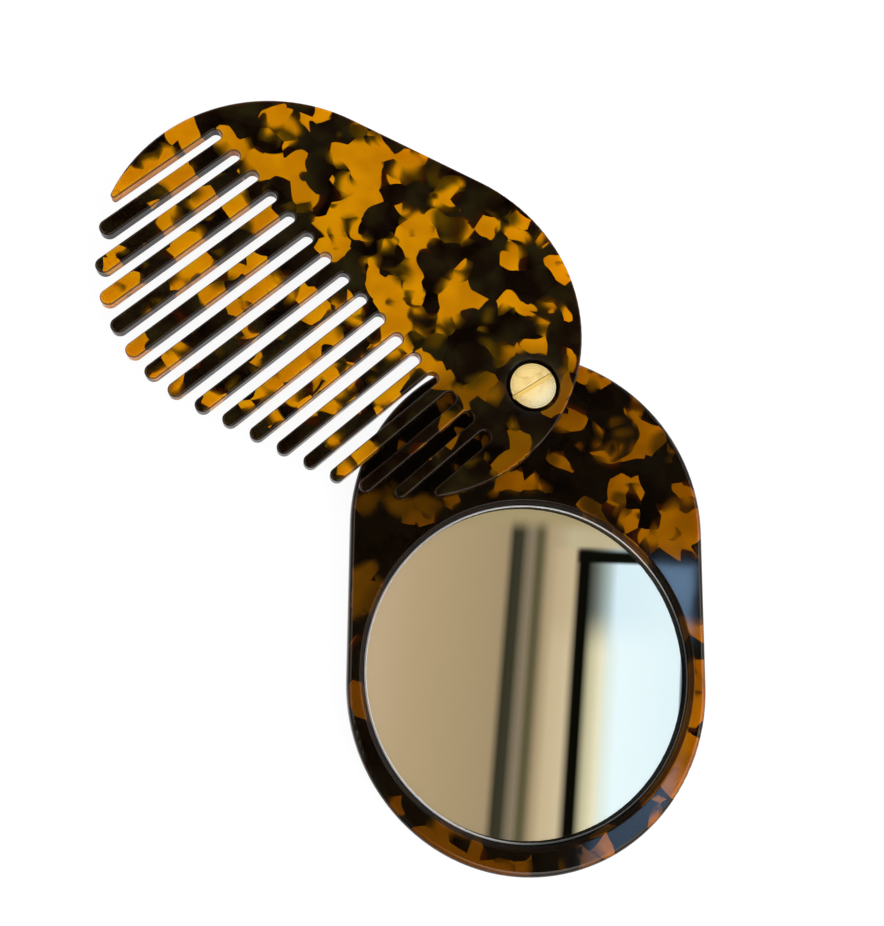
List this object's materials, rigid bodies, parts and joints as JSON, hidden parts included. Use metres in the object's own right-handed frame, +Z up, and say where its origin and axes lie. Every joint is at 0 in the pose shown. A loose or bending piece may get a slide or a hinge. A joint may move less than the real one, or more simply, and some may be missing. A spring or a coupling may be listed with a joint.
{
  "type": "pocket mirror with comb",
  "caption": "Folding pocket mirror: a round mirror in an oval tortoiseshell plate, and a comb of the same outline that swings on a brass pivot and closes over it.",
  "frame": {"origin": "on the flat back face, under the middle of the round mirror", "axes": "+Y from the mirror to the pivot, +Z up out of the mirror, +X to the right"},
  "size_m": [0.1081, 0.1334, 0.0073],
  "materials": {
    "plate_tortoiseshell": "polished cellulose acetate, amber with near-black patches",
    "adhesive": "thin double-sided pad",
    "silvering": "silvered, with backing paint",
    "glass": "clear float glass with a ground edge",
    "comb_tortoiseshell": "polished cellulose acetate, amber with near-black patches",
    "post_brass": "polished",
    "screw_brass": "polished",
    "nylon": "natural nylon",
    "spring_steel": "spring temper"
  },
  "bodies": {
    "mirror_leaf": {"mirror_plate": "plate_tortoiseshell", "mirror_adhesive": "adhesive", "mirror_silvering": "silvering", "mirror_glass": "glass", "pivot_post": "post_brass", "pivot_screw": "screw_brass", "friction_washer": "nylon", "spring_washer": "spring_steel"},
    "comb_leaf": {"comb": "comb_tortoiseshell"}
  },
  "joints": [
    {"name": "comb_pivot", "type": "hinge", "parent": "mirror_leaf", "child": "comb_leaf", "pos_m": [0, 0.0488, 0.00605], "axis": [0, 0, 1], "continuous": true}
  ]
}
